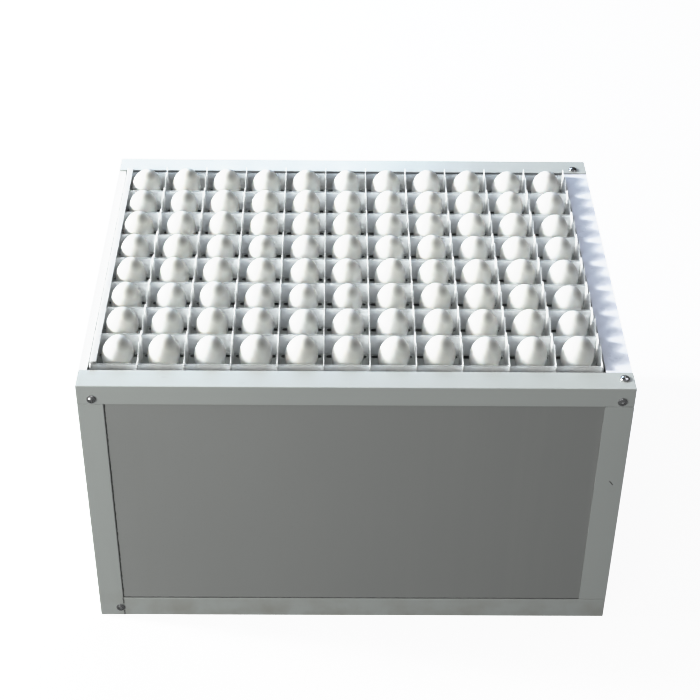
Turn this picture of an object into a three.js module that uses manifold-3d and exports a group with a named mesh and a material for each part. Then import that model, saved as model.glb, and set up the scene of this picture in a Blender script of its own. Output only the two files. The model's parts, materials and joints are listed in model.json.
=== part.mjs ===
// Base of a forced-air egg incubator: a panelled box in a metal angle frame, open at the top, with a
// tilting cradle that carries a lift-out egg tray. Millimetres, +X right, +Y back, +Z up.
// Origin: centre of the box's footprint, on the surface that it stands on.

import * as THREE from 'three';
import { mergeVertices } from 'three/addons/utils/BufferGeometryUtils.js';
import Module from 'manifold-3d';

const wasm = await Module();
wasm.setup();

// ---- driving dimensions -------------------------------------------------------------------------

const GAP = 0.3; // clearance between pieces that touch

// Case, measured over the metal frame
const WIDTH = 700;
const DEPTH = 552;
const RIM = 407; // height of the end rails' flat top
const SHEET = 2; // thickness of the frame's angles
const RAIL_FLAT = 33.5; // end rail, width of its flat top
const RAIL_FACE = 29; // end rail, height of its face
const POST_LEG = 33; // tall corner post, both legs
const SHORT_POST_LEG = 37; // corner post that stands on the bottom rails
const SILL_FACE = 33; // bottom rail, height of its face
const SILL_LIP = 25; // bottom rail, flange that carries the base
const END_WALL = 12; // thickness of the front and back panels
const SIDE_WALL = 6; // thickness of the side panels
const BASE_WALL = 12;
const CAP_EDGE = 339.5; // inner edge of the left side's cap, from the middle
const COVER_EDGE = 316.5; // inner edge of the drive cover on the right side

// Egg tray
const COLUMNS = 11;
const ROWS = 8;
const PITCH_X = 58.9;
const PITCH_Y = 58.2;
const TRAY_LEFT = -335.6; // first divider's middle plane
const WALL_TOP = 413; // top edge of the cross walls
const END_WALL_TOP = 409; // top edge of the first and last cross wall
const WALL_HEIGHT = 30.6;
const STRIP = 1.2; // thickness of a lattice strip
const OVERHANG = 1.3; // strips run this far past the outer crossings
const TRAY_FLOOR = 2;
const SEAT = { radius: 12, sides: 8 }; // round seat under each egg
const VENT = { back: 2.6, width: 6, inset: 3 }; // slot at the foot of each cell's back wall

// A divider's top edge in one cell, as [share of the cell from its front wall, height over the walls]
const TEETH = [[0.04, -2], [0.15, -2], [0.5, 9], [0.53, -1.5], [1, 5.6]];
const END_PEAK = 3; // rise of a divider's front end over the first cross wall
const LEDGE = { width: 8.6, thick: 1.2 }; // flat ledge along the tray's left edge, on the walls

// Cradle, its pivot and its drive
const PIVOT_Z = 372;
const END_BAR = 12; // square bar
const CRADLE_SHEET = 1.5;
const CRADLE_REACH = 237.6; // half depth over the retaining lips
const CRADLE_LIP = 6; // lip over the cradle's flat
const CRADLE_FLAT = 21;
const PIVOT_BORE_DEPTH = 8; // blind bores in the end bars
const PIN_RADIUS = 4;
const BUSH = { bore: 4.1, outer: 7, collar: 9.5, collarThick: 1.5 };
const SHAFT = { radius: 3.5, bore: 3.8, end: 333 };
const HUB = { radius: 9, length: 6 };
const MOTOR = { radius: 25, from: 322, to: 339, drop: 12 }; // drop: shaft over the motor's middle
const BRACKET = { width: 70, bottom: 330, top: 386, thick: 2 };

// Water pan on the base panel
const PAN = { length: 260, depth: 170, height: 32, wall: 1.5, x: -12 };

// Pan-head screws, as [x, z] on the front and [x, y] on the rim
const SCREW = { head: 6, rise: 3.2, shank: 2, length: 12, hole: 2.4, sides: 12 };
const END_SCREWS = { top_left: [-331, 386.5], bottom_left: [-321.5, 15.5], top_right: [334, 386.5] };
const RIM_SCREWS = { front: [337.5, -256], back: [330, 251] };

const ROUND = 24; // sides of a running bore or shaft

const X_OUT = WIDTH / 2;
const Y_OUT = DEPTH / 2;
const SKIN = SHEET + GAP; // the panels' outer faces lie this far inside the frame's
const SIDE_INNER = X_OUT - SKIN - SIDE_WALL;
const END_INNER = Y_OUT - SKIN - END_WALL;
const CAP_TOP = RIM - SHEET - GAP;
const POST_TOP = RIM - RAIL_FACE - GAP;
const WALL_BOTTOM = WALL_TOP - WALL_HEIGHT;
const HALF_LAP = WALL_BOTTOM + WALL_HEIGHT / 2;
const TRAY_RIGHT = TRAY_LEFT + COLUMNS * PITCH_X;
const TRAY_FRONT = -ROWS * PITCH_Y / 2;
const FLOOR_BOTTOM = WALL_BOTTOM - GAP - TRAY_FLOOR;
const CRADLE_TOP = FLOOR_BOTTOM - GAP;
const CRADLE_LEFT = TRAY_LEFT - STRIP / 2;
const CRADLE_RIGHT = TRAY_RIGHT + STRIP / 2;

// ---- materials ----------------------------------------------------------------------------------

const paint = (color, roughness, metalness) =>
  new THREE.MeshStandardMaterial({ color, roughness, metalness });

const FRAME_WHITE = paint(0xcdd5d6, 0.45, 0.1);
const CAP_WHITE = paint(0xf0f1f0, 0.4, 0);
const PANEL_GREY = paint(0xb4b8b6, 0.6, 0.05);
const COVER_BLUE = paint(0xd2d6e4, 0.4, 0.1);
const TRAY_WHITE = paint(0xf2f4f2, 0.5, 0);
const FLOOR_GREY = paint(0xa8adaa, 0.55, 0.1);
const ZINC = paint(0xb8bcc0, 0.35, 0.9);
const BRIGHT = paint(0xc8ccd0, 0.2, 1);
const NYLON = paint(0xe4e2d8, 0.5, 0);
const DARK = paint(0x3a3c3e, 0.5, 0.1);

// ---- solids -------------------------------------------------------------------------------------

const box = (x0, x1, y0, y1, z0, z1) =>
  new THREE.BoxGeometry(x1 - x0, y1 - y0, z1 - z0)
    .translate((x0 + x1) / 2, (y0 + y1) / 2, (z0 + z1) / 2);

// The turns that lay an extrusion along an axis
const X = new THREE.Vector3(1, 0, 0);
const Y = new THREE.Vector3(0, 1, 0);
const Z = new THREE.Vector3(0, 0, 1);
const ALONG = {
  x: new THREE.Matrix4().makeBasis(Y, Z, X),
  y: new THREE.Matrix4().makeBasis(Z, X, Y),
  z: new THREE.Matrix4(),
};

// A flat outline pulled along an axis. Its points are (y, z) along x, (z, x) along y, (x, y) along z.
function pulled(outline, axis, from, to, ...holes) {
  const shape = new THREE.Shape(outline.map(([u, v]) => new THREE.Vector2(u, v)));
  for (const hole of holes) {
    shape.holes.push(new THREE.Path(hole.map(([u, v]) => new THREE.Vector2(u, v))));
  }
  return new THREE.ExtrudeGeometry(shape, { depth: to - from, bevelEnabled: false })
    .translate(0, 0, from)
    .applyMatrix4(ALONG[axis]);
}

// A regular polygon about (u, v), its flats facing along the axes where sides is a multiple of 4
function ring(radius, u, v, sides = ROUND) {
  const angles = Array.from({ length: sides }, (_, i) => (2 * Math.PI * (i + 0.5)) / sides);
  return angles.map((a) => [u + radius * Math.cos(a), v + radius * Math.sin(a)]);
}

function solidOf(geometry) {
  const bare = geometry.clone();
  bare.deleteAttribute('normal');
  bare.deleteAttribute('uv');
  const merged = mergeVertices(bare, 1e-4);
  return new wasm.Manifold(new wasm.Mesh({
    numProp: 3,
    vertProperties: new Float32Array(merged.attributes.position.array),
    triVerts: new Uint32Array(merged.index.array),
  }));
}

function cut(geometry, ...tools) {
  let solid = solidOf(geometry);
  for (const tool of tools) {
    solid = solid.subtract(solidOf(tool));
  }
  const mesh = solid.getMesh();
  const result = new THREE.BufferGeometry();
  result.setAttribute('position', new THREE.BufferAttribute(mesh.vertProperties, mesh.numProp));
  result.setIndex(new THREE.BufferAttribute(mesh.triVerts, 1));
  result.computeVertexNormals();
  return result;
}

function add(group, name, geometry, material, position = [0, 0, 0]) {
  const mesh = new THREE.Mesh(geometry, material);
  mesh.name = name;
  mesh.position.set(...position);
  group.add(mesh);
}

// ---- fasteners ----------------------------------------------------------------------------------

// A pan head on the plane z = 0, its shank pointing down
function screwGeometry() {
  const { head, rise, shank, length, sides } = SCREW;
  const profile = [
    [0, -length], [shank, -length], [shank, 0], [head, 0],
    [head, rise * 0.4], [head * 0.8, rise * 0.85], [head * 0.4, rise], [0, rise],
  ];
  return new THREE.LatheGeometry(profile.map(([r, z]) => new THREE.Vector2(r, z)), sides)
    .rotateX(Math.PI / 2);
}

// Clearance holes through the front frame and panel
function endHoles() {
  return Object.values(END_SCREWS).map(([x, z]) =>
    pulled(ring(SCREW.hole, z, x, SCREW.sides), 'y', -Y_OUT - SHEET, -END_INNER + SHEET));
}

// Clearance holes through the rim's flat tops and the drive cover under them
function rimHoles() {
  return Object.values(RIM_SCREWS).map(([x, y]) =>
    pulled(ring(SCREW.hole, x, y, SCREW.sides), 'z', CAP_TOP - 2 * SHEET, RIM + SHEET));
}

function addScrews(model) {
  for (const [name, [x, z]] of Object.entries(END_SCREWS)) {
    const front = screwGeometry().rotateX(Math.PI / 2);
    const back = screwGeometry().rotateX(-Math.PI / 2);
    add(model, `screw_front_${name}`, front, BRIGHT, [x, -Y_OUT - GAP, z]);
    add(model, `screw_back_${name}`, back, BRIGHT, [-x, Y_OUT + GAP, z]);
  }
  for (const [name, [x, y]] of Object.entries(RIM_SCREWS)) {
    add(model, `screw_rim_${name}`, screwGeometry(), BRIGHT, [x, y, RIM + GAP]);
  }
}

// ---- case ---------------------------------------------------------------------------------------

// An end's top rail: an angle with its flat on top and its face down
function railGeometry() {
  const inner = -Y_OUT + RAIL_FLAT;
  const bottom = RIM - RAIL_FACE;
  const under = RIM - SHEET;
  const face = -Y_OUT + SHEET;
  return pulled([
    [-Y_OUT, bottom], [face, bottom], [face, under], [inner, under], [inner, RIM], [-Y_OUT, RIM],
  ], 'x', -X_OUT, X_OUT);
}

// An end's bottom rail: an angle with its face up and its lip under the base panel
function endSillGeometry() {
  const inner = -Y_OUT + SILL_LIP;
  const face = -Y_OUT + SHEET;
  return pulled([
    [-Y_OUT, 0], [inner, 0], [inner, SHEET], [face, SHEET], [face, SILL_FACE], [-Y_OUT, SILL_FACE],
  ], 'x', -X_OUT + POST_LEG + GAP, X_OUT);
}

// The left side's bottom rail, notched where it passes over the back rail's lip
function sideSillGeometry() {
  const inner = -X_OUT + SILL_LIP;
  const face = -X_OUT + SHEET;
  const angle = pulled([
    [0, -X_OUT], [0, inner], [SHEET, inner], [SHEET, face], [SILL_FACE, face], [SILL_FACE, -X_OUT],
  ], 'y', -Y_OUT + POST_LEG + GAP, Y_OUT - SKIN);
  return cut(angle, box(-X_OUT - SHEET, inner + SHEET, Y_OUT - SILL_LIP - GAP, Y_OUT, -SHEET, SKIN));
}

// A corner post, its corner at 0, 0 and its legs along +X and +Y
function postGeometry(leg, bottom) {
  return pulled([
    [0, 0], [leg, 0], [leg, SHEET], [SHEET, SHEET], [SHEET, leg], [0, leg],
  ], 'z', bottom, POST_TOP);
}

// A cap over a side panel: a flat top to the inner edge, and a lip down the outside. It stands for
// the right side; the end panels' tops come through notches in its flat.
function capGeometry(edge) {
  const lip = X_OUT - SHEET;
  const bottom = RIM - RAIL_FACE;
  const under = CAP_TOP - SHEET;
  const angle = pulled([
    [bottom, lip], [bottom, X_OUT], [CAP_TOP, X_OUT], [CAP_TOP, edge], [under, edge], [under, lip],
  ], 'y', -Y_OUT + SKIN, Y_OUT - SKIN);
  const notch = (y0, y1) => box(edge - SHEET, lip - GAP, y0, y1, under - SHEET, CAP_TOP + SHEET);
  return cut(angle, notch(-Y_OUT, -END_INNER + GAP), notch(END_INNER - GAP, Y_OUT));
}

// The case's front and left. The back and right are the same, half a turn about the middle.
function caseHalf(end, side, otherSide, rimHole, pivotHole) {
  const half = new THREE.Group();
  const holes = endHoles();
  const endPanel = box(-SIDE_INNER + GAP, SIDE_INNER - GAP, -Y_OUT + SKIN, -END_INNER, SKIN, CAP_TOP);
  const sidePanel = box(-X_OUT + SKIN, -SIDE_INNER, -Y_OUT + SKIN, Y_OUT - SKIN,
    SKIN, CAP_TOP - SHEET - GAP);
  const rail = railGeometry();
  const shortPost = postGeometry(SHORT_POST_LEG, SILL_FACE + GAP).rotateZ(Math.PI / 2);
  add(half, `${end}_panel`, cut(endPanel, ...holes), PANEL_GREY);
  add(half, `${side}_panel`, cut(sidePanel, ...pivotHole), PANEL_GREY);
  add(half, `${end}_top_rail`, cut(rail, ...holes, rimHole), FRAME_WHITE);
  add(half, `${end}_bottom_rail`, endSillGeometry(), FRAME_WHITE);
  add(half, `${side}_bottom_rail`, sideSillGeometry(), FRAME_WHITE);
  const tallPost = postGeometry(POST_LEG, 0).translate(-X_OUT, -Y_OUT, 0);
  add(half, `${end}_${side}_post`, cut(tallPost, ...holes), FRAME_WHITE);
  add(half, `${end}_${otherSide}_post`, shortPost, FRAME_WHITE, [X_OUT, -Y_OUT, 0]);
  return half;
}

function addCase(model) {
  const [frontHole, backHole] = rimHoles();
  const bushHole = pulled(ring(BUSH.outer + GAP, 0, PIVOT_Z), 'x', -X_OUT, -SIDE_INNER + SHEET);
  model.add(caseHalf('front', 'left', 'right', frontHole, [bushHole]));
  const back = caseHalf('back', 'right', 'left', backHole.clone().rotateZ(Math.PI), []);
  back.rotation.z = Math.PI;
  model.add(back);
  const baseX = SIDE_INNER - GAP;
  const baseY = END_INNER - GAP;
  add(model, 'base_panel', box(-baseX, baseX, -baseY, baseY, SKIN, SKIN + BASE_WALL), PANEL_GREY);
  const collarNotch = pulled(ring(BUSH.collar + GAP, 0, PIVOT_Z), 'x', -X_OUT - SHEET, -SIDE_INNER);
  add(model, 'left_cap', cut(capGeometry(CAP_EDGE).rotateZ(Math.PI), collarNotch), CAP_WHITE);
  add(model, 'drive_cover', cut(capGeometry(COVER_EDGE), frontHole, backHole), COVER_BLUE);
}

// ---- drive and pivot ----------------------------------------------------------------------------

// A collared sleeve through the left panel, its collar outside
function bushGeometry() {
  const { bore, outer, collar, collarThick } = BUSH;
  const inside = SIDE_WALL + GAP;
  const profile = [
    [bore, -collarThick], [collar, -collarThick], [collar, 0],
    [outer, 0], [outer, inside], [bore, inside], [bore, -collarThick],
  ];
  return new THREE.LatheGeometry(profile.map(([r, z]) => new THREE.Vector2(r, z)), ROUND)
    .rotateY(Math.PI / ROUND)
    .rotateZ(-Math.PI / 2);
}

function addDrive(model) {
  add(model, 'pivot_bush', bushGeometry(), NYLON, [-X_OUT + SHEET, 0, PIVOT_Z]);
  const middle = PIVOT_Z - MOTOR.drop;
  const body = pulled(ring(MOTOR.radius, 0, middle), 'x', MOTOR.from, MOTOR.to,
    ring(SHAFT.bore, 0, PIVOT_Z));
  add(model, 'turning_motor', body, DARK);
  const { width, bottom, top, thick } = BRACKET;
  const plate = box(MOTOR.to + GAP, MOTOR.to + GAP + thick, -width / 2, width / 2, bottom, top);
  add(model, 'motor_bracket', plate, ZINC);
}

// ---- cradle -------------------------------------------------------------------------------------

// The front rail: a flat that the tray's floor rests on, a lip that keeps the tray from sliding off
// when it is tilted, and a skirt over the ends of the end bars
function cradleRailGeometry() {
  const outer = -CRADLE_REACH;
  const web = outer + CRADLE_SHEET;
  const inner = outer + CRADLE_FLAT;
  const under = CRADLE_TOP - CRADLE_SHEET;
  const skirt = PIVOT_Z - END_BAR / 2;
  return pulled([
    [outer, skirt], [web, skirt], [web, under], [inner, under], [inner, CRADLE_TOP],
    [web, CRADLE_TOP], [web, CRADLE_TOP + CRADLE_LIP], [outer, CRADLE_TOP + CRADLE_LIP],
  ], 'x', CRADLE_LEFT, CRADLE_RIGHT);
}

function endBarGeometry(from, to, boreRadius, boreFrom, boreTo) {
  const reach = CRADLE_REACH - CRADLE_SHEET - GAP;
  const half = END_BAR / 2;
  const bar = box(from, to, -reach, reach, PIVOT_Z - half, PIVOT_Z + half);
  return cut(bar, pulled(ring(boreRadius, 0, PIVOT_Z), 'x', boreFrom, boreTo));
}

function cradle() {
  const group = new THREE.Group();
  const leftBore = CRADLE_LEFT + PIVOT_BORE_DEPTH;
  const rightBore = CRADLE_RIGHT - PIVOT_BORE_DEPTH;
  add(group, 'cradle_front_rail', cradleRailGeometry(), ZINC);
  add(group, 'cradle_back_rail', cradleRailGeometry()
    .rotateZ(Math.PI)
    .translate(CRADLE_LEFT + CRADLE_RIGHT, 0, 0), ZINC);
  add(group, 'cradle_left_bar', endBarGeometry(CRADLE_LEFT, CRADLE_LEFT + END_BAR,
    PIN_RADIUS + GAP, CRADLE_LEFT - GAP, leftBore), ZINC);
  add(group, 'cradle_right_bar', endBarGeometry(CRADLE_RIGHT - END_BAR, CRADLE_RIGHT,
    SHAFT.radius + GAP, rightBore, CRADLE_RIGHT + GAP), ZINC);
  add(group, 'pivot_pin', pulled(ring(PIN_RADIUS, 0, PIVOT_Z), 'x',
    -X_OUT + GAP, leftBore - GAP), BRIGHT);
  add(group, 'drive_shaft', pulled(ring(SHAFT.radius, 0, PIVOT_Z), 'x',
    rightBore + GAP, SHAFT.end), BRIGHT);
  const hubFrom = CRADLE_RIGHT + 2 * GAP;
  add(group, 'drive_hub', pulled(ring(HUB.radius, 0, PIVOT_Z), 'x', hubFrom, hubFrom + HUB.length,
    ring(SHAFT.bore, 0, PIVOT_Z)), ZINC);
  return group;
}

// ---- tray ---------------------------------------------------------------------------------------

const columnLines = Array.from({ length: COLUMNS + 1 }, (_, i) => TRAY_LEFT + i * PITCH_X);
const rowLines = Array.from({ length: ROWS + 1 }, (_, j) => TRAY_FRONT + j * PITCH_Y);
const SLOT_HALF = STRIP / 2 + GAP;
const PAST = STRIP / 2 + OVERHANG;

// A strip along x, slotted from above to take the dividers
function crossWallGeometry(edge) {
  const left = TRAY_LEFT - PAST;
  const right = TRAY_RIGHT + PAST;
  const seat = HALF_LAP - GAP / 2;
  const top = columnLines.flatMap((x) => [
    [edge, x - SLOT_HALF], [seat, x - SLOT_HALF], [seat, x + SLOT_HALF], [edge, x + SLOT_HALF],
  ]);
  return pulled([[WALL_BOTTOM, right], [WALL_BOTTOM, left], [edge, left], ...top,
    [edge, right]], 'y', -STRIP / 2, STRIP / 2);
}

// A strip along y, slotted from below, with the given points along its top
function dividerGeometry(...top) {
  const front = TRAY_FRONT - PAST;
  const back = -front;
  const seat = HALF_LAP + GAP / 2;
  const slots = [...rowLines].reverse().flatMap((y) => [
    [y + SLOT_HALF, WALL_BOTTOM], [y + SLOT_HALF, seat], [y - SLOT_HALF, seat], [y - SLOT_HALF, WALL_BOTTOM],
  ]);
  return pulled([[front, WALL_BOTTOM], ...top, [back, WALL_BOTTOM], ...slots], 'x', -STRIP / 2, STRIP / 2);
}

function toothedDividerGeometry() {
  const front = TRAY_FRONT - PAST;
  const teeth = rowLines.slice(0, ROWS).flatMap((y) =>
    TEETH.map(([share, rise]) => [y + share * PITCH_Y, WALL_TOP + rise]));
  return dividerGeometry([front, END_WALL_TOP], [TRAY_FRONT, END_WALL_TOP + END_PEAK], ...teeth,
    [-front, WALL_TOP + TEETH[0][1]]);
}

function plainDividerGeometry() {
  const front = TRAY_FRONT - PAST;
  return dividerGeometry([front, WALL_TOP], [-front, WALL_TOP]);
}

function ledgeGeometry() {
  const reach = PAST - TRAY_FRONT;
  const bottom = WALL_TOP + GAP;
  return box(CRADLE_LEFT, CRADLE_LEFT + LEDGE.width, -reach, reach, bottom, bottom + LEDGE.thick);
}

// The floor: in each cell a round seat for the egg and a narrow slot at the back wall's foot
function floorGeometry() {
  const below = FLOOR_BOTTOM - GAP;
  const above = WALL_BOTTOM;
  const plate = box(CRADLE_LEFT, CRADLE_RIGHT, TRAY_FRONT - PAST, -TRAY_FRONT + PAST,
    FLOOR_BOTTOM, FLOOR_BOTTOM + TRAY_FLOOR);
  const holes = [];
  for (const x of columnLines.slice(0, COLUMNS)) {
    for (const y of rowLines.slice(0, ROWS)) {
      const back = y + PITCH_Y - VENT.back;
      const seat = ring(SEAT.radius, x + PITCH_X / 2, y + PITCH_Y / 2, SEAT.sides);
      holes.push(pulled(seat, 'z', below, above));
      holes.push(box(x + VENT.inset, x + PITCH_X - VENT.inset, back - VENT.width, back, below, above));
    }
  }
  return cut(plate, ...holes);
}

function tray() {
  const group = new THREE.Group();
  const crossWall = crossWallGeometry(WALL_TOP);
  const endWall = crossWallGeometry(END_WALL_TOP);
  const toothed = toothedDividerGeometry();
  const plain = plainDividerGeometry();
  rowLines.forEach((y, j) => {
    const wall = j === 0 || j === ROWS ? endWall : crossWall;
    add(group, `cross_wall_${j + 1}`, wall, TRAY_WHITE, [0, y, 0]);
  });
  columnLines.forEach((x, i) => {
    add(group, `divider_${i + 1}`, i === 0 ? plain : toothed, TRAY_WHITE, [x, 0, 0]);
  });
  add(group, 'tray_ledge', ledgeGeometry(), TRAY_WHITE);
  add(group, 'tray_floor', floorGeometry(), FLOOR_GREY);
  return group;
}

// ---- water pan ----------------------------------------------------------------------------------

function addPan(model) {
  const { length, depth, height, wall, x } = PAN;
  const outer = box(-length / 2, length / 2, -depth / 2, depth / 2, 0, height);
  const inner = box(-length / 2 + wall, length / 2 - wall, -depth / 2 + wall, depth / 2 - wall,
    wall, height + wall);
  add(model, 'water_pan', cut(outer, inner), TRAY_WHITE, [x, 0, SKIN + BASE_WALL + GAP]);
}

const incubator = new THREE.Group();
addCase(incubator);
addScrews(incubator);
addDrive(incubator);
addPan(incubator);
incubator.add(cradle());
incubator.add(tray());

export default incubator;
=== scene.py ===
import json
import math
import random

import bmesh
import bpy
from mathutils import Matrix, Vector


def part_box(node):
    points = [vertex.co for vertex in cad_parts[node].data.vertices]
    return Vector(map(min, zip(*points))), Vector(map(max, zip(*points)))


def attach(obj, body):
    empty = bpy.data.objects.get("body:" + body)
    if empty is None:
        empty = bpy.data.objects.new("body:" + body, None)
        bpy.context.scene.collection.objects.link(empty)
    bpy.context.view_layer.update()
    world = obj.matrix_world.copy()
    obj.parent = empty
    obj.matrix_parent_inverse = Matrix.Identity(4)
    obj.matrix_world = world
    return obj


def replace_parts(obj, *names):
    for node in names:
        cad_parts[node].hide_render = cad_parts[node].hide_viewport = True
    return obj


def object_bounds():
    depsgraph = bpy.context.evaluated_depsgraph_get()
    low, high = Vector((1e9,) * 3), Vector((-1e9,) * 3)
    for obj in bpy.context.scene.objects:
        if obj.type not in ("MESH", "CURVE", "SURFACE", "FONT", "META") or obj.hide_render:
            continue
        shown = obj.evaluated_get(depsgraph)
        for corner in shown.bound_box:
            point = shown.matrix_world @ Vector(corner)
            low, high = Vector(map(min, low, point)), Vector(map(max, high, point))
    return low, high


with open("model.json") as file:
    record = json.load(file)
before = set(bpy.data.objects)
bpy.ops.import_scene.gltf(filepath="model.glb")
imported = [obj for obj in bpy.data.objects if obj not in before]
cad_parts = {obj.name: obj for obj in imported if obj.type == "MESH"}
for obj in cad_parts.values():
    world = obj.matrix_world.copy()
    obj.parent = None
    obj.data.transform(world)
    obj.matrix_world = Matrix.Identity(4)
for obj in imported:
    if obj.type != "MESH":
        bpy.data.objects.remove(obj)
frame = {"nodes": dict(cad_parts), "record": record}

# The base of a cabinet egg incubator: a panelled box in a metal angle frame, with a tilting tray of eggs.
# Metres, +X right, +Y back, +Z up. Most CAD nodes are dressed where they stand. The eggs, seams and side
# screws are made here, and so are finer versions of the tray's floor, the motor, the pan and the screws.

CAD_LOW, CAD_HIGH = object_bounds()
NODES = frame["nodes"]
BODY_OF = {node: body for body, nodes in frame["record"]["behaviour"]["bodies"].items() for node in nodes}

# ---- sizes, in metres ---------------------------------------------------------------------------

EGG_RADIUS = 0.0208
EGG_HEIGHT = 0.0530
EGG_SHAPES = 9  # different eggs, shared out over the cells
EGG_LEAN = (5, 11)  # degrees to the right
EGG_PAINTED_SHADE = (0.0055, -0.0075, 0.0315)  # painted shade beside the tip, grey, from the middle of the blunt end
EGG_PAINTED_SHADE_BELOW = (0.0105, -0.0135, 0.0215)  # middle of the fainter painted shade that runs down from it
SEAT_RADIUS = 0.012  # round hole under each egg
SEAT_SIDES = 32
VENT_LENGTH = 0.053
VENT_WIDTH = 0.006
VENT_BEHIND = 0.0026  # from a cross wall's middle to the slot
FLOOR_EDGE = 0.0003  # rounding of the tray floor's edges
SCREW_HEAD = 0.006  # radius of a screw's head
SCREW_RISE = 0.0028  # height of a screw's head
SCREW_RISE_CAD = 0.0032  # the same, on a CAD screw
SIDE_SCREW_Y = 0.2575  # a side screw's distance from the middle
SIDE_SCREW_LEVELS = (0.06, 0.2, 0.34)
SEAM_WIDTH = 0.0014
SEAM_RISE = 0.0007
RAIL_SEAM = 0.0009  # width of the seam along the bottom rail
SEAM_FOOT = 0.0006  # height where the tall post's seam starts
SEAM_BREAK = (0.0090, 0.0222)  # heights between which the bottom screw's head interrupts it
SCUFF = ((0.3318, 0.2535), (0.3368, 0.2467))  # ends of a scratch on the front right post, as (x, z)
SCUFF_WIDTH = 0.0012
SCUFF_RISE = 0.0002

# The camera looks at AIM, a little over the middle of the box
AIM = Vector((-0.0047, 0, 0.2555))
DISTANCE = 2.331
AZIMUTH, ELEVATION, ROLL = math.radians(-0.832), math.radians(37.31), math.radians(0.824)
LENS = 83.5

SKY_BASE = 0.12
SKY_LEAN = (-0.04, -0.09, 0.0)
SKY_COLOR = (0.95, 0.98, 0.98, 1)

# The tone curve's points, as light in and light out
TONE = ((0.35, 0.33), (0.65, 0.70), (0.90, 0.91), (1.5, 0.97), (3.0, 1.06))


# ---- materials ----------------------------------------------------------------------------------

class Shade:
    """A Principled material whose textures are laid in the object's own coordinates, in metres."""

    def __init__(self, name, color, roughness, metallic=0.0, **sockets):
        self.material = bpy.data.materials.new(name)
        self.material.use_nodes = True
        self.tree = self.material.node_tree
        self.shader = self.tree.nodes["Principled BSDF"]
        self.color = color
        self.shader.inputs["Base Color"].default_value = (*color, 1)
        self.shader.inputs["Roughness"].default_value = roughness
        self.shader.inputs["Metallic"].default_value = metallic
        for socket, value in sockets.items():
            self.shader.inputs[socket.replace("_", " ")].default_value = value
        self.place = self.tree.nodes.new("ShaderNodeTexCoord").outputs["Object"]

    def link(self, a, b):
        self.tree.links.new(a, b)

    def stretched(self, scale):
        node = self.tree.nodes.new("ShaderNodeMapping")
        node.inputs["Scale"].default_value = scale
        self.link(self.place, node.inputs["Vector"])
        return node.outputs["Vector"]

    def noise(self, scale, detail=3.0, roughness=0.5, stretch=(1, 1, 1)):
        node = self.tree.nodes.new("ShaderNodeTexNoise")
        node.inputs["Scale"].default_value = scale
        node.inputs["Detail"].default_value = detail
        node.inputs["Roughness"].default_value = roughness
        self.link(self.stretched(stretch), node.inputs["Vector"])
        return node.outputs["Fac"]

    def cells(self, scale, stretch=(1, 1, 1)):
        node = self.tree.nodes.new("ShaderNodeTexVoronoi")
        node.inputs["Scale"].default_value = scale
        self.link(self.stretched(stretch), node.inputs["Vector"])
        return node.outputs["Distance"]

    def along(self, axis):
        node = self.tree.nodes.new("ShaderNodeSeparateXYZ")
        self.link(self.place, node.inputs["Vector"])
        return node.outputs[axis]

    def spread(self, value, low, high, to_low=0.0, to_high=1.0):
        """value taken from low..high to to_low..to_high, clamped."""
        node = self.tree.nodes.new("ShaderNodeMapRange")
        for name, number in zip(("From Min", "From Max", "To Min", "To Max"), (low, high, to_low, to_high)):
            node.inputs[name].default_value = number
        self.link(value, node.inputs["Value"])
        return node.outputs["Result"]

    def distance(self, point):
        node = self.tree.nodes.new("ShaderNodeVectorMath")
        node.operation = "DISTANCE"
        node.inputs[1].default_value = point
        self.link(self.place, node.inputs[0])
        return node.outputs["Value"]

    def times(self, a, b):
        node = self.tree.nodes.new("ShaderNodeMath")
        node.operation = "MULTIPLY"
        self.link(a, node.inputs[0])
        if isinstance(b, float):
            node.inputs[1].default_value = b
        else:
            self.link(b, node.inputs[1])
        return node.outputs["Value"]

    def tint(self, share, color):
        """Mixes a second colour over what the base colour is so far."""
        node = self.tree.nodes.new("ShaderNodeMix")
        node.data_type = "RGBA"
        base = self.shader.inputs["Base Color"]
        if base.links:
            self.link(base.links[0].from_socket, node.inputs["A"])
        else:
            node.inputs["A"].default_value = (*self.color, 1)
        node.inputs["B"].default_value = (*color, 1)
        self.link(share, node.inputs["Factor"])
        self.link(node.outputs["Result"], base)
        return self

    def patches(self, color, share, low, high, scale, detail, **kind):
        """Up to that share of a second colour, where noise goes from low to high."""
        return self.tint(self.spread(self.noise(scale, detail, **kind), low, high, 0.0, share), color)

    def rough(self, smooth, coarse, scale, detail):
        """Roughness that wanders from smooth to coarse."""
        wander = self.spread(self.noise(scale, detail), 0.3, 0.7, smooth, coarse)
        self.link(wander, self.shader.inputs["Roughness"])
        return self

    def bump(self, height, depth, strength=1.0):
        """Relief of that depth in metres, over the relief that is already there."""
        node = self.tree.nodes.new("ShaderNodeBump")
        node.inputs["Strength"].default_value = strength
        node.inputs["Distance"].default_value = depth
        self.link(height, node.inputs["Height"])
        normal = self.shader.inputs["Normal"]
        if normal.links:
            self.link(normal.links[0].from_socket, node.inputs["Normal"])
        self.link(node.outputs["Normal"], normal)
        return self


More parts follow.
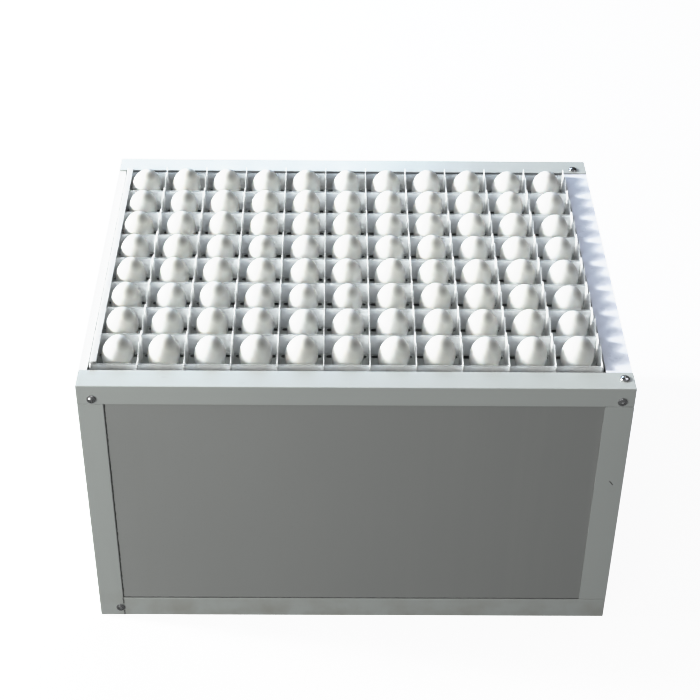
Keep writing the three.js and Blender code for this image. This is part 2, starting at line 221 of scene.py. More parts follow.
def frame_paint():
    """White powder coat on metal angle: orange peel, fine scratches and a little dust near the floor."""
    paint = Shade("frame_paint_fine", (0.555, 0.575, 0.565), 0.32, Specular_IOR_Level=0.45)
    paint.patches((0.50, 0.52, 0.515), 0.35, 0.35, 0.75, 5, 4)
    scratch = paint.noise(90, 2, 0.6, stretch=(0.35, 1.0, 6.0))
    paint.tint(paint.spread(scratch, 0.70, 0.76, 0.0, 0.25), (0.45, 0.46, 0.46))
    near_floor = paint.spread(paint.along("Z"), 0.0, 0.05, 1.0, 0.0)
    dust = paint.times(near_floor, paint.spread(paint.noise(30, 5), 0.4, 0.7))
    paint.tint(paint.times(dust, 0.6), (0.38, 0.36, 0.32))
    paint.rough(0.29, 0.38, 9, 2)
    paint.bump(paint.noise(650, 2), 0.00012, 0.5)
    return paint.bump(scratch, 0.00006, 0.4).material


def panel_skin():
    """Grey composite board: fine grain, long faint roller marks and soft smudges. Painted shade: it greys to
    the right.
    """
    skin = Shade("panel_skin_fine", (0.418, 0.424, 0.420), 0.55, Specular_IOR_Level=0.35)
    # Painted shade: darker towards the right, as the light falls off from the left
    skin.tint(skin.spread(skin.along("X"), -0.32, 0.32), (0.338, 0.342, 0.338))
    skin.patches((0.362, 0.367, 0.364), 0.5, 0.35, 0.7, 3, 4)
    skin.patches((0.39, 0.393, 0.384), 0.3, 0.45, 0.75, 60, 3, stretch=(1, 1, 0.03))
    skin.patches((0.285, 0.286, 0.28), 0.25, 0.62, 0.72, 420, 2)
    skin.rough(0.46, 0.66, 8, 5)
    return skin.bump(skin.noise(1200, 2), 0.00008, 0.6).material


def cover_sheet():
    """Pale blue-grey plastic sheet over the drive, with the soft ripples of a thin sheet."""
    sheet = Shade("cover_sheet_fine", (0.89, 0.905, 0.965), 0.3, Specular_IOR_Level=0.5)
    sheet.patches((0.84, 0.87, 0.94), 0.5, 0.35, 0.7, 9, 3)
    sheet.rough(0.22, 0.42, 24, 4)
    sheet.bump(sheet.noise(26, 2, stretch=(1, 0.55, 1)), 0.0009, 0.5)
    return sheet.bump(sheet.noise(900, 2), 0.00005, 0.4).material


def cap_sheet():
    """White plastic sheet, satin, over the left wall."""
    sheet = Shade("cap_sheet_fine", (0.88, 0.89, 0.88), 0.4, Specular_IOR_Level=0.5)
    sheet.patches((0.83, 0.84, 0.83), 0.4, 0.35, 0.7, 11, 3)
    sheet.rough(0.3, 0.48, 24, 4)
    return sheet.bump(sheet.noise(900, 2), 0.00005, 0.4).material


def tray_plastic(name, shade_height=1.0):
    """White moulded plastic: satin, slightly translucent, with faint flow marks and dust in the cells. From
    just under shade_height it is painted grey, a painted shade that dims a lit top edge, and the default
    is over every edge."""
    plastic = Shade(name, (0.88, 0.895, 0.895), 0.5, Subsurface_Weight=0.9, Subsurface_Scale=0.006,
                    Subsurface_Radius=(1.0, 1.0, 1.0), Specular_IOR_Level=0.25)
    plastic.patches((0.82, 0.84, 0.84), 0.35, 0.4, 0.75, 22, 3, stretch=(1, 1, 0.2))
    plastic.patches((0.66, 0.64, 0.58), 0.3, 0.66, 0.76, 260, 4)
    # Painted shade: the top of the part, from just under shade_height, is greyed to dim its lit edge
    painted_shade_top = plastic.spread(plastic.along("Z"), shade_height - 0.0018, shade_height - 0.0006, 0.0, 0.9)
    plastic.tint(painted_shade_top, (0.42, 0.43, 0.43))
    plastic.rough(0.42, 0.6, 40, 4)
    return plastic.bump(plastic.noise(800, 3), 0.00007, 0.5).material


def tray_floor_sheet(top):
    """Grey floor of the tray: satin, with dust and fine scuffs where eggs have turned. Below the height top
    it is painted nearly black: painted shade in its cuts and all over its underside."""
    sheet = Shade("tray_floor_fine", (0.62, 0.65, 0.64), 0.5)
    sheet.patches((0.54, 0.57, 0.56), 0.5, 0.4, 0.7, 35, 4)
    sheet.patches((0.76, 0.75, 0.71), 0.4, 0.64, 0.74, 320, 4)
    # Painted shade: nearly black below the top face, in the cuts and underneath
    below = sheet.spread(sheet.along("Z"), top - 0.0008, top - 0.0003, 0.9, 0.0)
    sheet.tint(below, (0.07, 0.07, 0.065))
    sheet.rough(0.4, 0.62, 50, 3)
    return sheet.bump(sheet.noise(700, 3), 0.0001, 0.5).material


def eggshell(index):
    """White shell: chalky, pored, faintly mottled, with painted shade: a soft grey patch beside the tip and
    a fainter one below it. Each egg differs a little in warmth."""
    warm = 0.012 * math.sin(2.4 * index)
    shell = Shade(f"eggshell_{index}", (0.85 + warm / 2, 0.85, 0.825 - warm), 0.48, Subsurface_Weight=0.18,
                  Subsurface_Scale=0.0035, Subsurface_Radius=(1.0, 0.75, 0.55), Specular_IOR_Level=0.35)
    shell.patches((0.81, 0.81, 0.78), 0.4, 0.35, 0.75, 70 + index, 4)
    shell.patches((0.72, 0.71, 0.67), 0.35, 0.66, 0.74, 900, 2)
    # Painted shade of the tip: a grey patch beside it and a fainter grey below it
    shell.tint(shell.spread(shell.distance(EGG_PAINTED_SHADE), 0.0015, 0.0100, 0.78, 0.0), (0.42, 0.42, 0.385))
    shell.tint(shell.spread(shell.distance(EGG_PAINTED_SHADE_BELOW), 0.003, 0.0165, 0.42, 0.0), (0.58, 0.58, 0.545))
    shell.rough(0.40, 0.58, 140, 3)
    shell.bump(shell.noise(210, 3), 0.0003, 0.25)
    return shell.bump(shell.cells(1500), 0.00009, 0.35).material


def zinc_plate():
    """Zinc-plated sheet: cloudy spangle and fine brushing."""
    zinc = Shade("zinc_plate_fine", (0.56, 0.58, 0.60), 0.38, 0.9)
    zinc.tint(zinc.spread(zinc.cells(160), 0.1, 0.8, 0.0, 0.6), (0.68, 0.70, 0.71))
    zinc.patches((0.42, 0.43, 0.43), 0.5, 0.55, 0.8, 18, 5)
    zinc.rough(0.28, 0.5, 60, 4)
    return zinc.bump(zinc.noise(500, 2, stretch=(0.1, 1, 1)), 0.00005, 0.5).material


def screw_steel():
    """Bright plated screw: near mirror, slightly pitted, with dirt in patches."""
    steel = Shade("screw_steel_fine", (0.50, 0.50, 0.51), 0.17, 1.0)
    steel.patches((0.20, 0.19, 0.18), 0.7, 0.55, 0.75, 500, 4)
    steel.rough(0.14, 0.34, 700, 3)
    return steel.bump(steel.noise(2200, 2), 0.00004, 0.5).material


def shaft_steel():
    """Turned steel: rings along the shaft."""
    steel = Shade("shaft_steel_fine", (0.60, 0.61, 0.62), 0.3, 1.0)
    steel.rough(0.22, 0.4, 90, 3)
    return steel.bump(steel.noise(2400, 1, stretch=(1, 0.02, 0.02)), 0.00004, 0.6).material


def bush_nylon():
    """Moulded nylon: waxy, off-white."""
    nylon = Shade("bush_nylon_fine", (0.80, 0.78, 0.71), 0.45, Subsurface_Weight=0.2,
                  Subsurface_Scale=0.002)
    nylon.patches((0.74, 0.71, 0.62), 0.4, 0.4, 0.7, 60, 3)
    return nylon.bump(nylon.noise(1100, 2), 0.00006, 0.4).material


def motor_case():
    """Black satin can: fine pressing marks and patches of dust."""
    black = Shade("motor_case_fine", (0.035, 0.036, 0.04), 0.42, Coat_Weight=0.2, Coat_Roughness=0.3)
    black.patches((0.22, 0.21, 0.19), 0.35, 0.6, 0.8, 120, 4)
    black.rough(0.34, 0.55, 45, 3)
    return black.bump(black.noise(900, 2), 0.00008, 0.5).material


def seam_sealant():
    """Dark, matt and lumpy. Along a seam it is painted shade of the gap; on the scuff it is a dark scratch.
    """
    dark_coat = Shade("seam_sealant", (0.07, 0.072, 0.068), 0.7)
    dark_coat.patches((0.14, 0.14, 0.13), 0.5, 0.5, 0.75, 180, 3)
    return dark_coat.bump(dark_coat.noise(260, 3), 0.0004, 0.8).material


def pan_plastic():
    """White vacuum-formed plastic, with limey water marks."""
    plastic = Shade("pan_plastic_fine", (0.80, 0.83, 0.84), 0.35, Subsurface_Weight=0.1,
                    Subsurface_Scale=0.002)
    plastic.patches((0.66, 0.63, 0.55), 0.5, 0.5, 0.8, 45, 5)
    plastic.rough(0.28, 0.45, 30, 3)
    return plastic.bump(plastic.noise(500, 3), 0.00008, 0.5).material


# ---- mesh helpers -------------------------------------------------------------------------------

def piece(name, mesh, material, body, at=None):
    """A new object that rides a body. The matrix at is its place at rest."""
    obj = bpy.data.objects.new(name, mesh)
    bpy.context.scene.collection.objects.link(obj)
    mesh.materials.clear()
    mesh.materials.append(material)
    if at is not None:
        obj.matrix_world = at
    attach(obj, body)
    return obj


def mesh_from(name, build, smooth=True):
    """A mesh made by build(bm)."""
    bm = bmesh.new()
    build(bm)
    bmesh.ops.recalc_face_normals(bm, faces=bm.faces)
    mesh = bpy.data.meshes.new(name)
    bm.to_mesh(mesh)
    bm.free()
    for polygon in mesh.polygons:
        polygon.use_smooth = smooth
    return mesh


def turned(profile, sides=48):
    """A builder that turns (radius, height) points about Z. The profile starts and ends on the axis
    or closes on itself."""
    def build(bm):
        rings = []
        for radius, height in profile:
            if radius < 1e-7:
                rings.append([bm.verts.new((0, 0, height))])
                continue
            angles = [2 * math.pi * i / sides for i in range(sides)]
            ring = [(radius * math.cos(a), radius * math.sin(a), height) for a in angles]
            rings.append([bm.verts.new(point) for point in ring])
        for low, high in zip(rings, rings[1:]):
            for i in range(sides):
                j = (i + 1) % sides
                corners = [low[i % len(low)], low[j % len(low)], high[j % len(high)], high[i % len(high)]]
                bm.faces.new(list(dict.fromkeys(corners)))
    return build


def arc(center, radius, start, end, steps):
    """Points on an arc in the profile plane, angles in degrees."""
    angles = [math.radians(start + (end - start) * i / steps) for i in range(steps + 1)]
    return [(center[0] + radius * math.cos(a), center[1] + radius * math.sin(a)) for a in angles]


def finish_edges(obj, width, segments=2):
    """Joins a CAD node's faces for display and rounds its edges, by modifiers only."""
    weld = obj.modifiers.new("weld", "WELD")
    weld.merge_threshold = 0.00002
    bevel = obj.modifiers.new("bevel", "BEVEL")
    bevel.width = width
    bevel.segments = segments
    bevel.limit_method = "ANGLE"
    bevel.angle_limit = math.radians(28)
    bevel.use_clamp_overlap = True
    obj.modifiers.new("normals", "WEIGHTED_NORMAL").keep_sharp = False
    for polygon in obj.data.polygons:
        polygon.use_smooth = True


def dress(names, material, width, segments=2):
    """Gives CAD nodes a material, and edges rounded by that width."""
    for name in names:
        obj = NODES[name]
        obj.data.materials.clear()
        obj.data.materials.append(material)
        finish_edges(obj, width, segments)


# ---- camera and stage ---------------------------------------------------------------------------

def make_camera():
    """A camera DISTANCE from AIM. AZIMUTH is how far the view turns to the left, and ROLL tilts it."""
    forward = Vector((-math.sin(AZIMUTH) * math.cos(ELEVATION), math.cos(AZIMUTH) * math.cos(ELEVATION),
                      -math.sin(ELEVATION)))
    camera = bpy.data.objects.new("camera", bpy.data.cameras.new("camera"))
    bpy.context.scene.collection.objects.link(camera)
    camera.data.lens = LENS
    camera.data.sensor_width = 36
    turn = forward.to_track_quat("-Z", "Y").to_matrix() @ Matrix.Rotation(ROLL, 3, "Z")
    camera.matrix_world = Matrix.Translation(AIM - forward * DISTANCE) @ turn.to_4x4()
    bpy.context.scene.camera = camera


def area_light(name, at, target, size, power, color=(1, 1, 1)):
    light = bpy.data.lights.new(name, "AREA")
    light.shape = "RECTANGLE"
    light.size, light.size_y = size
    light.energy = power
    light.color = color
    obj = bpy.data.objects.new(name, light)
    bpy.context.scene.collection.objects.link(obj)
    obj.location = at
    obj.rotation_euler = (Vector(target) - Vector(at)).to_track_quat("-Z", "Y").to_euler()
    obj.visible_camera = False


def make_stage():
    """A white floor that shines a little, so that shadows on it stay pale, but throws no light upwards."""
    shade = Shade("floor_white", (0.93, 0.94, 0.95), 0.9, Emission_Color=(1, 1, 1, 1), Emission_Strength=1.0)
    shade.tint(shade.spread(shade.noise(2, 3), 0.3, 0.8, 0.0, 0.2), (0.90, 0.905, 0.91))
    floor = bpy.data.meshes.new("floor")
    reach = 60
    floor.from_pydata([(-reach, -reach, 0), (reach, -reach, 0), (reach, reach, 0), (-reach, reach, 0)],
                      [], [(0, 1, 2, 3)])
    floor.materials.append(shade.material)
    obj = bpy.data.objects.new("floor", floor)
    bpy.context.scene.collection.objects.link(obj)
    obj.location.z = CAD_LOW.z - 0.0003
    obj.visible_diffuse = False
    obj.visible_glossy = False


def make_sky():
    """Dim light from all round: SKY_BASE, brighter towards the front and the left by SKY_LEAN."""
    world = bpy.data.worlds.new("studio")
    world.use_nodes = True
    tree = world.node_tree
    way = tree.nodes.new("ShaderNodeTexCoord").outputs["Generated"]
    dot = tree.nodes.new("ShaderNodeVectorMath")
    dot.operation = "DOT_PRODUCT"
    dot.inputs[1].default_value = SKY_LEAN
    tree.links.new(way, dot.inputs[0])
    add = tree.nodes.new("ShaderNodeMath")
    add.inputs[1].default_value = SKY_BASE
    tree.links.new(dot.outputs["Value"], add.inputs[0])
    background = tree.nodes["Background"]
    background.inputs["Color"].default_value = SKY_COLOR
    tree.links.new(add.outputs["Value"], background.inputs["Strength"])
    bpy.context.scene.world = world


def light_from(name, around, up, away, size, power, color):
    """An area light aimed at the tray: around is degrees behind the left side, up is above level."""
    around, up = math.radians(around), math.radians(up)
    way = Vector((-math.cos(around) * math.cos(up), math.sin(around) * math.cos(up), math.sin(up)))
    target = Vector((0, 0, CAD_HIGH.z))
    area_light(name, target + way * away, target, size, power, color)


def make_tone():
    """A camera's tone: the middle rises faster than the light, and the top flattens towards white."""
    view = bpy.context.scene.view_settings
    view.view_transform = "Standard"
    view.use_curve_mapping = True
    mapping = view.curve_mapping
    mapping.use_clip = False
    curve = mapping.curves[3]
    curve.points[1].location = TONE[-1]
    for point in TONE[:-1]:
        curve.points.new(*point)
    mapping.update()


def make_light():
    """Two lights low on the left, hard and soft, a cool one behind, and weak ones that fill the front, the
    bottom left and the drive's side."""
    make_sky()
    light_from("key", 7, 22, 6.5, (0.5, 0.5), 285, (1.0, 0.985, 0.955))
    light_from("window", 4, 26, 5.0, (1.8, 1.3), 215, (0.99, 1.0, 0.985))
    light_from("sky_behind", 82, 27, 2.4, (1.2, 1.0), 21, (0.78, 0.95, 1.15))
    light_from("front_soft", -60, 20, 3.5, (1.6, 1.2), 36, (0.99, 1.0, 0.98))
    area_light("strip_over_front", (-0.3, -1.1, 1.9), (0, -0.27, 0.4), (1.2, 0.2), 2.2, (1.0, 1.0, 1.0))
    area_light("fill_front_left", (-1.0, -1.2, 0.12), (-0.2, -0.28, 0.15), (0.7, 0.5), 3.7,
               (0.99, 1.0, 0.95))
    area_light("lamp_right", (0.66, 0.0, 0.86), (0.33, 0.0, 0.40), (0.3, 0.5), 0.95, (0.97, 0.98, 1.04))
    make_tone()


# ---- eggs ---------------------------------------------------------------------------------------

def egg_profile(radius, height, taper, steps=34):
    """(radius, height) points from the blunt pole at 0 to the tip."""
    points = []
    for i in range(steps + 1):
        t = math.pi * i / steps
        swell = 1 + taper * math.cos(t) - 0.5 * taper * taper * math.cos(2 * t)
        points.append((radius * math.sin(t) * swell, height * (1 - math.cos(t)) / 2))
    points[0] = (0, 0)
    points[-1] = (0, height)
    return points


def blunt_radius(radius, height, taper):
    """Radius of curvature of an egg's blunt end."""
    return 2 * radius * radius * (1 + taper) ** 2 / height


def seat_drop(profile, seat):
    """How far an egg's blunt pole hangs below the edge of its round seat."""
    for (r0, z0), (r1, z1) in zip(profile, profile[1:]):
        if r1 >= seat:
            return z0 + (z1 - z0) * (seat - r0) / (r1 - r0)
    return 0


def make_eggs(floor_top, column_lines, row_lines):
    """One egg in each cell. The shapes differ by a few percent in width, height and taper."""
    pick = random.Random(88)
    shapes = []
    for i in range(EGG_SHAPES):
        radius = EGG_RADIUS * (1 + 0.03 * math.sin(1.7 * i + 0.4))
        height = EGG_HEIGHT * (1 + 0.025 * math.sin(2.9 * i + 1.1))
        taper = 0.045 + 0.035 * math.sin(4.1 * i)
        profile = egg_profile(radius, height, taper)
        blunt = blunt_radius(radius, height, taper)
        mesh = mesh_from(f"egg_shape_{i + 1}", turned([(r, z - blunt) for r, z in profile]))
        shapes.append((mesh, blunt - seat_drop(profile, SEAT_RADIUS), eggshell(i + 1)))
    for c, (x0, x1) in enumerate(zip(column_lines, column_lines[1:])):
        for r, (y0, y1) in enumerate(zip(row_lines, row_lines[1:])):
            mesh, rise, shell = shapes[pick.randrange(EGG_SHAPES)]
            middle = Vector(((x0 + x1) / 2, (y0 + y1) / 2, floor_top + rise))
            right = Matrix.Rotation(math.radians(pick.uniform(*EGG_LEAN)), 4, "Y")
            back = Matrix.Rotation(math.radians(pick.uniform(-3, 3)), 4, "X")
            spin = Matrix.Rotation(math.radians(pick.uniform(-20, 20)), 4, "Z")
            at = Matrix.Translation(middle) @ right @ back @ spin
            piece(f"egg_{r + 1}_{c + 1}", mesh, shell, "tray", at=at)


# ---- the tray's floor ---------------------------------------------------------------------------

def closed_spline(curve, points):
    spline = curve.splines.new("POLY")
    spline.points.add(len(points) - 1)
    spline.use_cyclic_u = True
    for point, (x, y) in zip(spline.points, points):
        point.co = (x, y, 0, 1)


def slot_outline(x, y, length, width, steps=6):
    """A straight slot with round ends, centred on (x, y)."""
    reach = (length - width) / 2
    right = arc((x + reach, y), width / 2, -90, 90, steps)
    left = arc((x - reach, y), width / 2, 90, 270, steps)
    return right + left


def make_tray_floor(column_lines, row_lines):
    """A flat sheet with a round seat and a slot in each cell."""
    low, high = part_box("tray_floor")
    curve = bpy.data.curves.new("tray_floor_outline", "CURVE")
    curve.dimensions = "2D"
    curve.fill_mode = "BOTH"
    curve.extrude = (high.z - low.z) / 2 - FLOOR_EDGE
    curve.bevel_depth = FLOOR_EDGE
    curve.bevel_resolution = 1
    curve.offset = -FLOOR_EDGE
    closed_spline(curve, [(low.x, low.y), (high.x, low.y), (high.x, high.y), (low.x, high.y)])
    last = 360 * (SEAT_SIDES - 1) / SEAT_SIDES
    for x0, x1 in zip(column_lines, column_lines[1:]):
        for y0, y1 in zip(row_lines, row_lines[1:]):
            closed_spline(curve, arc(((x0 + x1) / 2, (y0 + y1) / 2), SEAT_RADIUS, 0, last, SEAT_SIDES - 1))
            y = y1 - VENT_BEHIND - VENT_WIDTH / 2
            closed_spline(curve, slot_outline((x0 + x1) / 2, y, VENT_LENGTH, VENT_WIDTH))
    holder = bpy.data.objects.new("outline_holder", curve)
    mesh = bpy.data.meshes.new_from_object(holder)
    mesh.name = "tray_floor_fine"
    bpy.data.objects.remove(holder)
    mesh.transform(Matrix.Translation((0, 0, (low.z + high.z) / 2)))
    obj = piece("tray_floor_fine", mesh, tray_floor_sheet(high.z), "tray")
    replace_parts(obj, "tray_floor")


# ---- screws -------------------------------------------------------------------------------------

def screw_mesh():
    """A pan head on z = 0 with a cross recess. Its shank is short: the rest is inside the frame."""
    shank, depth, dome_radius = 0.0019, 0.002, 0.0095
    recess = (0.0066, 0.0012, 0.003)
    narrowing = 0.45  # of the recess's length at its foot
    dome = arc((0, SCREW_RISE - dome_radius), dome_radius, 62, 88, 6)
    profile = [(0, -depth), (shank, -depth), (shank, 0.0), (SCREW_HEAD - 0.0003, 0.0),
               (SCREW_HEAD, 0.0004), (SCREW_HEAD, 0.0010), (SCREW_HEAD - 0.0006, 0.0017)]
    profile += [(r, z) for r, z in dome if r < SCREW_HEAD - 0.0008] + [(0, SCREW_RISE)]
    head = bpy.data.objects.new("screw_blank", mesh_from("screw_fine", turned(profile, 40)))
    bpy.context.scene.collection.objects.link(head)

    def cross(bm):
        for turn in (0, math.pi / 2):
            made = bmesh.ops.create_cube(bm, size=1)["verts"]
            bmesh.ops.scale(bm, vec=recess, verts=made)
            for v in made:
                if v.co.z < 0:
                    v.co.x *= narrowing
            bmesh.ops.rotate(bm, cent=(0, 0, 0), matrix=Matrix.Rotation(turn, 3, "Z"), verts=made)
            bmesh.ops.translate(bm, vec=(0, 0, SCREW_RISE), verts=made)

    cutter = bpy.data.objects.new("screw_cutter", mesh_from("screw_cutter", cross, smooth=False))
    bpy.context.scene.collection.objects.link(cutter)
    boolean = head.modifiers.new("recess", "BOOLEAN")
    boolean.operation = "DIFFERENCE"
    boolean.object = cutter
    boolean.use_self = True
    bpy.context.view_layer.update()
    mesh = bpy.data.meshes.new_from_object(head.evaluated_get(bpy.context.evaluated_depsgraph_get()))
    mesh.name = "screw_fine"
    bpy.data.objects.remove(head)
    bpy.data.objects.remove(cutter)
    mesh.set_sharp_from_angle(angle=math.radians(40))
    return mesh


# Turns that point a piece's +Z out of each side
OUTWARD = {
    "front": Matrix.Rotation(math.radians(90), 4, "X"),
    "back": Matrix.Rotation(math.radians(-90), 4, "X"),
    "left": Matrix.Rotation(math.radians(-90), 4, "Y"),
    "right": Matrix.Rotation(math.radians(90), 4, "Y"),
    "rim": Matrix.Identity(4),
}


def screw_at(name, mesh, material, way, at, pick):
    """A screw on the case, its head facing that way and its recess turned at random."""
    turn = Matrix.Rotation(pick.uniform(0, math.pi / 2), 4, "Z")
    place = Matrix.Translation(at) @ OUTWARD[way] @ turn
    return piece(name, mesh, material, "case", place)


def make_screws():
    """A finer screw for each CAD screw, and six more down each side, at the frame's corners."""
    pick = random.Random(12)
    mesh = screw_mesh()
    steel = screw_steel()
    for name in sorted(n for n in NODES if n.startswith("screw_")):
        low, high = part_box(name)
        way = name.split("_")[1]
        at = (low + high) / 2
        if way == "front":
            at.y = CAD_LOW.y + SCREW_RISE_CAD
        elif way == "back":
            at.y = CAD_HIGH.y - SCREW_RISE_CAD
        else:
            at.z = high.z - SCREW_RISE_CAD
        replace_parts(screw_at(f"{name}_fine", mesh, steel, way, at, pick), name)
    for side, x in (("left", CAD_LOW.x), ("right", CAD_HIGH.x)):
        for end in (-1, 1):
            for level in SIDE_SCREW_LEVELS:
                at = Vector((x, end * SIDE_SCREW_Y, level))
                label = f"screw_{side}_{'front' if end < 0 else 'back'}_{round(level * 100)}"
                screw_at(label, mesh, steel, side, at, pick)


# ---- seams and marks ----------------------------------------------------------------------------

def box_piece(name, low, high, material, body, width):
    """A box with edges rounded by that width."""
    def build(bm):
        made = bmesh.ops.create_cube(bm, size=1)["verts"]
        bmesh.ops.scale(bm, vec=Vector(high) - Vector(low), verts=made)
        bmesh.ops.translate(bm, vec=(Vector(low) + Vector(high)) / 2, verts=made)
        bmesh.ops.bevel(bm, geom=bm.edges[:], offset=width, segments=2, affect="EDGES", profile=0.5)
    return piece(name, mesh_from(name, build, smooth=False), material, body)


def bead(name, start, end, outward, width, rise, material):
    """A bead on the case: its width, its rise and its line all wander a little."""
    pick = random.Random(name)
    start, end, outward = Vector(start), Vector(end), Vector(outward)
    along = (end - start).normalized()
    side = along.cross(outward)
    count = max(4, round((end - start).length / 0.004))
    angles = (0, 0.8, 1.57, 2.34, math.pi)

    def build(bm):
        rings = []
        for i in range(count + 1):
            wide = width * pick.uniform(0.3, 0.62)
            high = rise * pick.uniform(0.6, 1.0)
            middle = start.lerp(end, i / count) + side * width * pick.uniform(-0.3, 0.3)
            offsets = [(wide * math.cos(a), high * math.sin(a)) for a in angles]
            rings.append([bm.verts.new(middle + side * u + outward * v) for u, v in offsets])
        for a, b in zip(rings, rings[1:]):
            for j in range(len(angles)):
                k = (j + 1) % len(angles)
                bm.faces.new((a[j], a[k], b[k], b[j]))
        bm.faces.new(rings[0])
        bm.faces.new(rings[-1])

    return piece(name, mesh_from(name, build), material, "case")


def make_seams():
    """Dark beads on the ends, painted shade of the seams' gaps: down the tall post's inner edge, past the
    bottom screw, and along the bottom rail."""
    # Painted shade: these dark beads stand for the shade in the gaps of the seams
    dark = seam_sealant()
    for end, post, short, panel, rail in (
            ("front", "front_left_post", "front_right_post", "front_panel", "front_bottom_rail"),
            ("back", "back_right_post", "back_left_post", "back_panel", "back_bottom_rail")):
        post_low, post_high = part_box(post)
        short_low, short_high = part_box(short)
        panel_low, panel_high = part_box(panel)
        rail_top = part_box(rail)[1].z
        facing = -1 if end == "front" else 1
        face = post_low.y if end == "front" else post_high.y
        skin = panel_low.y if end == "front" else panel_high.y
        seam = post_high.x if end == "front" else post_low.x
        far = short_low.x if end == "front" else short_high.x
        out = (0, facing, 0)
        inside = seam - facing * SEAM_WIDTH / 2
        bead(f"seam_{end}_post", (inside, skin, rail_top), (inside, skin, post_high.z), out,
             SEAM_WIDTH, SEAM_RISE, dark)
        for part, z0, z1 in (("low", SEAM_FOOT, SEAM_BREAK[0]), ("high", SEAM_BREAK[1], rail_top)):
            bead(f"seam_{end}_{part}", (seam, face, z0), (seam, face, z1), out, SEAM_WIDTH, SEAM_RISE, dark)
        bead(f"seam_{end}_rail", (inside, skin, rail_top), (far, skin, rail_top), out,
             RAIL_SEAM, SEAM_RISE, dark)


def make_scuff():
    """A short dark scratch on the front right post."""
    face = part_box("front_right_post")[0].y
    start, end = [(x, face, z) for x, z in SCUFF]
    bead("scuff", start, end, (0, -1, 0), SCUFF_WIDTH, SCUFF_RISE, seam_sealant())


# ---- drive, pan ---------------------------------------------------------------------------------

def make_motor():
    """A pressed can with a rolled rim, a shaft boss and two terminals, in the CAD motor's place."""
    low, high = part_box("turning_motor")
    shaft_low, shaft_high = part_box("drive_shaft")
    radius = (high.z - low.z) / 2
    thick = high.x - low.x
    rim, waist = 0.0012, 0.0008
    profile = [(0, 0), (radius - rim, 0)] + arc((radius - rim, rim), rim, -90, 0, 4)
    profile += [(radius, 0.003), (radius - waist, 0.0036), (radius - waist, thick - 0.005),
                (radius, thick - 0.0044)]
    profile += arc((radius - rim, thick - rim), rim, 0, 90, 4)
    profile += [(radius * 0.62, thick), (radius * 0.58, thick - waist), (0, thick - waist)]
    middle = Vector((low.x, (low.y + high.y) / 2, (low.z + high.z) / 2))
    at = Matrix.Translation(middle) @ OUTWARD["right"]
    motor = piece("turning_motor_fine", mesh_from("motor_can", turned(profile, 64)), motor_case(), "case",
                  at)
    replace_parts(motor, "turning_motor")
    inner, outer, height, chamfer = 0.0042, 0.0078, 0.0018, 0.0006
    ring = [(inner, 0.0), (outer, 0.0), (outer, chamfer - height), (outer - chamfer, -height),
            (inner, -height), (inner, 0.0)]
    shaft_middle = (shaft_low + shaft_high) / 2
    boss_at = Matrix.Translation((low.x, shaft_middle.y, shaft_middle.z)) @ OUTWARD["right"]
    boss = mesh_from("motor_boss", turned(ring, 40), smooth=False)
    piece("motor_boss", boss, zinc_plate(), "case", boss_at)
    reach, half_width = 0.006, 0.0024
    for i, y in enumerate((-0.006, 0.006)):
        corner = (high.x - 0.006, y - half_width, low.z - reach)
        opposite = (high.x - 0.0052, y + half_width, low.z + 0.002)
        box_piece(f"motor_terminal_{i + 1}", corner, opposite, shaft_steel(), "case", 0.0002)


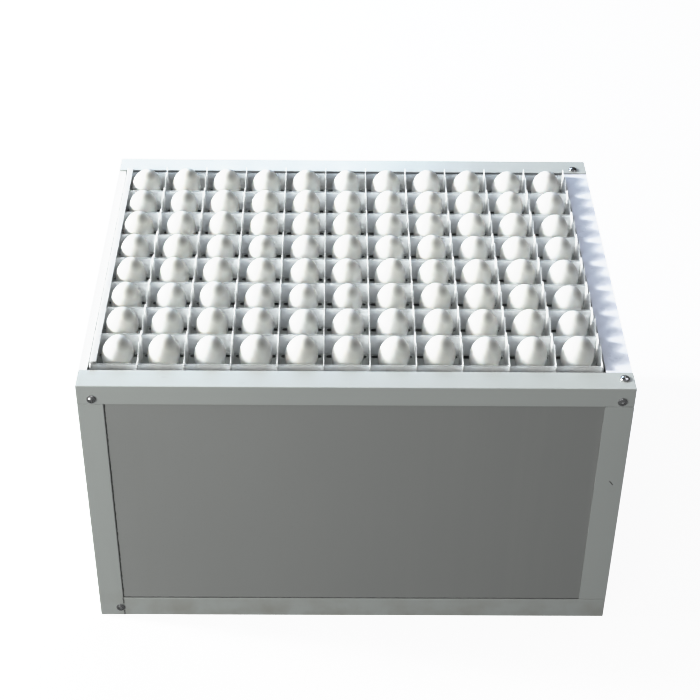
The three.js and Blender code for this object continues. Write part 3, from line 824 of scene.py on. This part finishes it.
def make_pan():
    """A vacuum-formed pan: round corners, sides that lean out to a rolled rim."""
    low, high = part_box("water_pan")
    wall, corner, draft = 0.0015, 0.022, 0.004
    floor = low.z + wall

    def loop(bm, inset, radius, z):
        points = []
        for sx, sy, start in ((1, 1, 0), (-1, 1, 90), (-1, -1, 180), (1, -1, 270)):
            cx = (high.x if sx > 0 else low.x) - sx * (inset + radius)
            cy = (high.y if sy > 0 else low.y) - sy * (inset + radius)
            points += arc((cx, cy), radius, start, start + 90, 8)
        return [bm.verts.new((x, y, z)) for x, y in points]

    # Each step of the wall's section: inset from the outside, corner radius, height
    outside = [(draft + 0.006, corner - 0.006, low.z), (draft + 0.001, corner - 0.001, low.z + 0.005),
               (0.0035, corner, high.z - 0.003)]
    rim = [(0.0, corner, high.z - 0.003), (0.0, corner, high.z - 0.001), (0.0008, corner, high.z),
           (0.0042, corner, high.z), (0.005, corner, high.z - 0.001)]
    inside = [(draft + wall + 0.001, corner - 0.001, floor + 0.005),
              (draft + wall + 0.006, corner - 0.006, floor)]

    def build(bm):
        loops = [loop(bm, *step) for step in outside + rim + inside]
        for a, b in zip(loops, loops[1:]):
            for i in range(len(a)):
                j = (i + 1) % len(a)
                bm.faces.new((a[i], a[j], b[j], b[i]))
        bm.faces.new(loops[0])
        bm.faces.new(loops[-1])

    mesh = mesh_from("water_pan_fine", build)
    mesh.set_sharp_from_angle(angle=math.radians(50))
    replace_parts(piece("water_pan_fine", mesh, pan_plastic(), "pan"), "water_pan")


# ---- the whole ----------------------------------------------------------------------------------

def middle_planes(prefix, axis):
    """The middle planes of a numbered set of strips, in order along an axis."""
    boxes = [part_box(name) for name in NODES if name.startswith(prefix)]
    return sorted((low[axis] + high[axis]) / 2 for low, high in boxes)


def dress_nodes():
    """Materials and rounded edges for the CAD nodes that stay in view."""
    paint = frame_paint()
    dress([n for n in NODES if n.endswith("_rail") and BODY_OF[n] == "case"], paint, 0.0010, 3)
    dress([n for n in NODES if n.endswith("_post")], paint, 0.0015, 3)
    dress(["left_cap"], cap_sheet(), 0.0006, 3)
    dress([n for n in NODES if n.endswith("_panel")], panel_skin(), 0.0006)
    dress(["drive_cover"], cover_sheet(), 0.0006, 3)
    dividers = [n for n in NODES if n.startswith("divider_")]
    dress(dividers + ["tray_ledge"], tray_plastic("tray_plastic_fine"), 0.0003)
    for name in sorted(n for n in NODES if n.startswith("cross_wall_")):
        dress([name], tray_plastic(f"{name}_fine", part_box(name)[1].z), 0.0003)
    zinc = zinc_plate()
    dress([n for n in NODES if n.startswith("cradle_")] + ["motor_bracket", "drive_hub"], zinc, 0.0003)
    dress(["pivot_pin", "drive_shaft"], shaft_steel(), 0.0003)
    dress(["pivot_bush"], bush_nylon(), 0.0003)


make_camera()
make_light()
make_stage()
dress_nodes()
COLUMN_LINES = middle_planes("divider_", 0)
ROW_LINES = middle_planes("cross_wall_", 1)
make_tray_floor(COLUMN_LINES, ROW_LINES)
make_eggs(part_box("tray_floor")[1].z, COLUMN_LINES, ROW_LINES)
make_screws()
make_seams()
make_scuff()
make_motor()
make_pan()
